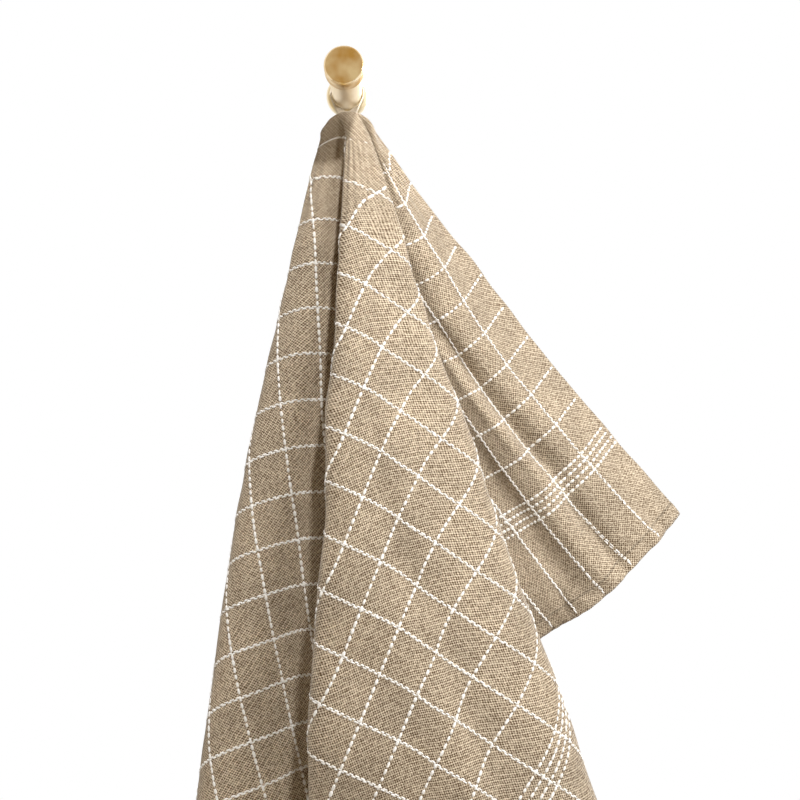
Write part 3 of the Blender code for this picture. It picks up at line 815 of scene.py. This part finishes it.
def tape_path():
    """Half the tape's middle line, as x, out and z, and how far it has twisted from flat against the
    cloth to flat on the stem: straight up its sewn end, in a smooth step along the strand, and over a
    quarter circle to the top of the bend."""
    below = np.linspace(-TAPE_END_LENGTH, 0, TAPE_END_ROWS + 1)[:-1]
    sewn = np.stack([np.full_like(below, TAPE_END_X), np.full_like(below, TAPE_END_OUT),
                     TAPE_END_TOP_Z + below], axis=-1)
    rise = np.linspace(0, 1, TAPE_STRAND_ROWS + 1)[:-1]
    spread = ease(rise**TAPE_SPREAD_POWER)
    strand = np.stack([TAPE_END_X + (TAPE_BEND_RADIUS - TAPE_END_X) * spread,
                       TAPE_END_OUT + (TAPE_OUT - TAPE_END_OUT) * ease(rise),
                       TAPE_END_TOP_Z + (TAPE_MIDDLE_Z - TAPE_END_TOP_Z) * rise], axis=-1)
    around = np.linspace(0, math.pi / 2, TAPE_BEND_ROWS)
    bend = np.stack([TAPE_BEND_RADIUS * np.cos(around), np.full_like(around, TAPE_OUT),
                     TAPE_MIDDLE_Z + TAPE_BEND_RADIUS * np.sin(around)], axis=-1)
    twist = np.concatenate([np.zeros_like(below), ease(TAPE_TWIST_SPEED * rise), np.ones_like(around)])
    return np.concatenate([sewn, strand, bend]), twist * math.pi / 2


def ribbon_of(path, twist):
    """A ribbon along a path, as a grid whose columns run across the tape: the path plus so much of the
    tape's own sideways direction, which is square to the path and turned about it by twist. Returns the
    points and their flat places."""
    along = np.gradient(path, axis=0)
    along /= np.linalg.norm(along, axis=1, keepdims=True)
    wide = np.stack([np.cos(twist), -np.sin(twist), np.zeros(len(path))], axis=-1)
    wide -= along * (wide * along).sum(axis=1, keepdims=True)
    wide /= np.linalg.norm(wide, axis=1, keepdims=True)
    across = np.linspace(-TAPE_WIDTH / 2, TAPE_WIDTH / 2, TAPE_COLUMNS)
    points = path[:, None] + wide[:, None] * across[:, None]
    travelled = np.concatenate([[0], np.cumsum(np.linalg.norm(np.diff(path, axis=0), axis=1))])
    return points, np.stack(np.broadcast_arrays(across, travelled[:, None]), axis=-1)


def woven_tape(name):
    """Narrow woven cotton tape: undyed, with a fine herringbone rib across it, painted paler on its crests
    and darker between them as its light and shade.
    """
    material, shader = new_material(name)
    uv = add(material, "ShaderNodeUVMap", uv_map="flat cloth")
    split = add(material, "ShaderNodeSeparateXYZ", {0: uv.outputs[0]})
    side = add(material, "ShaderNodeMath", {0: split.outputs["X"]}, operation="ABSOLUTE")
    slant = add(material, "ShaderNodeMath", {0: side.outputs[0], 1: split.outputs["Y"]}, operation="ADD")
    turn = add(material, "ShaderNodeMath",
               {0: slant.outputs[0], 1: 2 * math.pi / TAPE_RIB}, operation="MULTIPLY")
    rib = add(material, "ShaderNodeMath", {0: turn.outputs[0]}, operation="SINE")
    shade = add(material, "ShaderNodeMapRange",
                {"Value": rib.outputs[0], "From Min": -1.0, "From Max": 1.0})
    # Painted light and shade: the undyed tape is paler on the rib's crests and darker in its hollows.
    tone = add(material, "ShaderNodeMix",
               {0: shade.outputs[0], 6: from_hex("#d8cbb4"), 7: from_hex("#f4ecdd")}, data_type="RGBA")
    relief = add(material, "ShaderNodeBump",
                 {"Height": shade.outputs[0], "Strength": 0.7, "Distance": 0.2 * MM})
    feed(material, shader, {"Base Color": tone.outputs[2], "Normal": relief.outputs[0],
                            "Roughness": 0.9})
    return material


half_path, half_twist = tape_path()
path = np.concatenate([half_path, half_path[-2::-1] * (-1, 1, 1)]) * (1, -1, 1)
twist = np.concatenate([half_twist, math.pi - half_twist[-2::-1]])
ribbon, ribbon_flat = ribbon_of(path, twist)
tape_half = np.full(ribbon.shape[:2], TAPE_HALF_THICKNESS)
vertices, faces, uv = shell_of(ribbon, normals_of(ribbon), tape_half, ribbon_flat)
tape = mesh_piece("hanging_tape", vertices, faces, woven_tape("undyed_cotton_tape"), uv)
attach(tape, "root")
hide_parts("hanging_loop")

# ---------------------------------------------------------------------------------------------------
# The stand-in room: a pale floor well below the towel, a small key light above and in front, soft light
# from both sides and from behind, and white surroundings. The camera stands level, 0.95 m from the wall.
# ---------------------------------------------------------------------------------------------------
FLOOR_Z = -0.95
FLOOR_SIZE = 2.4


def plain_floor(name):
    """Matt pale board, even and without shine."""
    material, shader = new_material(name)
    feed(material, shader, {"Base Color": from_hex("#f1efeb"), "Roughness": 0.9})
    return material


half = FLOOR_SIZE / 2
floor = mesh_piece("floor", np.array([(-half, -half, FLOOR_Z), (half, -half, FLOOR_Z),
                                      (half, half, FLOOR_Z), (-half, half, FLOOR_Z)]),
                   np.array([[0, 1, 2, 3]]), plain_floor("pale_board"))

# Square lights, all turned to the towel: name, place and size in metres, power in watts and colour. The
# left one would show as a white patch in the polished brass, so nothing mirrors it.
LIT_PLACE = (0.05, 0, -0.22)
LIGHTS = (
    ("key", (0.22, -0.92, 0.72), 0.07, 12.5, "#fbfcff"),
    ("fill", (0.6, -0.8, 0.45), 0.2, 4.5, "#fbfcff"),
    ("right", (1.1, -0.4, 0.25), 0.5, 10.0, "#fbfcff"),
    ("left", (-1.2, -0.3, 0.1), 0.5, 4.0, "#fbfcff"),
    ("back", (0.5, 1.1, 0.5), 1.0, 16.0, "#fffaf2"),
)
for name, place, size, power, colour in LIGHTS:
    light = bpy.data.lights.new(name, "AREA")
    light.size = size
    light.energy = power
    light.color = from_hex(colour)[:3]
    lamp = bpy.data.objects.new(name, light)
    lamp.location = place
    lamp.rotation_euler = (Vector(LIT_PLACE) - Vector(place)).to_track_quat("-Z", "Y").to_euler()
    lamp.visible_glossy = name != "left"
    bpy.context.scene.collection.objects.link(lamp)

# The surroundings are white to the camera, a dim warm glow to the matt surfaces, and pale to the brass,
# with a deeper tone straight in front of the wall
world = bpy.data.worlds.new("white room")
bpy.context.scene.world = world
world.use_nodes = True
world.node_tree.nodes.clear()
rays = add(world, "ShaderNodeLightPath")
heading = add(world, "ShaderNodeTexCoord")
toward = add(world, "ShaderNodeSeparateXYZ", {0: heading.outputs["Generated"]})
to_the_sides = add(world, "ShaderNodeMapRange",
                   {"Value": toward.outputs["Y"], "From Min": -0.93, "From Max": -0.6},
                   interpolation_type="SMOOTHSTEP")
mirrored = add(world, "ShaderNodeMix",
               {0: to_the_sides.outputs[0], 6: from_hex("#c9b48c"), 7: from_hex("#fff6e8")},
               data_type="RGBA")
shown = add(world, "ShaderNodeBackground", {"Color": from_hex("#ffffff"), "Strength": 1.0})
glint = add(world, "ShaderNodeBackground", {"Color": mirrored.outputs[2], "Strength": 1.0})
ambient = add(world, "ShaderNodeBackground", {"Color": from_hex("#edcb98"), "Strength": 0.15})
indirect = add(world, "ShaderNodeMixShader",
               {0: rays.outputs["Is Glossy Ray"], 1: ambient.outputs[0], 2: glint.outputs[0]})
either = add(world, "ShaderNodeMixShader",
             {0: rays.outputs["Is Camera Ray"], 1: indirect.outputs[0], 2: shown.outputs[0]})
add(world, "ShaderNodeOutputWorld", {0: either.outputs[0]})

PHOTO_SIDE = 800
FOCAL_PIXELS = 1461
CAMERA_PLACE = (0.034, -0.95, -0.197)
camera = bpy.data.cameras.new("camera")
camera.sensor_width = 36
camera.lens = camera.sensor_width * FOCAL_PIXELS / PHOTO_SIDE
stand = bpy.data.objects.new("camera", camera)
stand.location = CAMERA_PLACE
stand.rotation_euler = (math.radians(90), 0, 0)
bpy.context.scene.collection.objects.link(stand)
bpy.context.scene.camera = stand
bpy.context.scene.view_settings.view_transform = "Standard"
